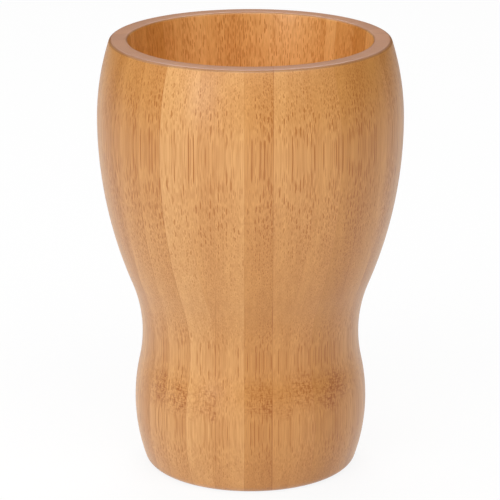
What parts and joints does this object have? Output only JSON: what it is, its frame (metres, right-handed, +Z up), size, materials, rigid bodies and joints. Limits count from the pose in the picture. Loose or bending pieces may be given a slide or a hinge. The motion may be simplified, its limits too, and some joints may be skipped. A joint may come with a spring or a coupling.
{
  "type": "bamboo cup",
  "caption": "Round bamboo cup with a full belly under the rim, a drawn-in waist and a small hip above a flat foot, turned from a ring of glued staves.",
  "frame": {"origin": "middle of the foot's underside, on the surface that the cup stands on", "axes": "+Z up along the cup's axis, -Y towards the side that the picture shows"},
  "size_m": [0.0766, 0.0766, 0.1105],
  "materials": {
    "light_bamboo": "satin clear lacquer over pale bamboo",
    "medium_bamboo": "satin clear lacquer over bamboo",
    "dark_bamboo": "satin clear lacquer over darker bamboo"
  },
  "bodies": {
    "root": {"stave_1_strip_1": "dark_bamboo", "stave_1_strip_2": "light_bamboo", "stave_1_strip_3": "medium_bamboo", "stave_1_strip_4": "light_bamboo", "stave_2_strip_1": "light_bamboo", "stave_2_strip_2": "medium_bamboo", "stave_2_strip_3": "dark_bamboo", "stave_2_strip_4": "medium_bamboo", "stave_2_strip_5": "medium_bamboo", "stave_3_strip_1": "dark_bamboo", "stave_3_strip_2": "light_bamboo", "stave_3_strip_3": "medium_bamboo", "stave_3_strip_4": "dark_bamboo", "stave_3_strip_5": "light_bamboo", "stave_4_strip_1": "medium_bamboo", "stave_4_strip_2": "light_bamboo", "stave_4_strip_3": "dark_bamboo", "stave_4_strip_4": "light_bamboo", "stave_5_strip_1": "medium_bamboo", "stave_5_strip_2": "dark_bamboo", "stave_5_strip_3": "light_bamboo", "stave_5_strip_4": "medium_bamboo", "stave_6_strip_1": "light_bamboo", "stave_6_strip_2": "dark_bamboo", "stave_6_strip_3": "light_bamboo", "stave_6_strip_4": "medium_bamboo", "stave_7_strip_1": "dark_bamboo", "stave_7_strip_2": "light_bamboo", "stave_7_strip_3": "medium_bamboo", "stave_7_strip_4": "light_bamboo", "stave_8_strip_1": "dark_bamboo", "stave_8_strip_2": "light_bamboo", "stave_8_strip_3": "medium_bamboo", "stave_8_strip_4": "dark_bamboo", "stave_8_strip_5": "light_bamboo", "stave_9_strip_1": "medium_bamboo", "stave_9_strip_2": "dark_bamboo", "stave_9_strip_3": "dark_bamboo", "stave_9_strip_4": "light_bamboo", "stave_9_strip_5": "light_bamboo", "base_strip_1": "dark_bamboo", "base_strip_2": "light_bamboo", "base_strip_3": "medium_bamboo", "base_strip_4": "light_bamboo", "base_strip_5": "dark_bamboo", "base_strip_6": "light_bamboo", "base_strip_7": "medium_bamboo"}
  },
  "joints": []
}
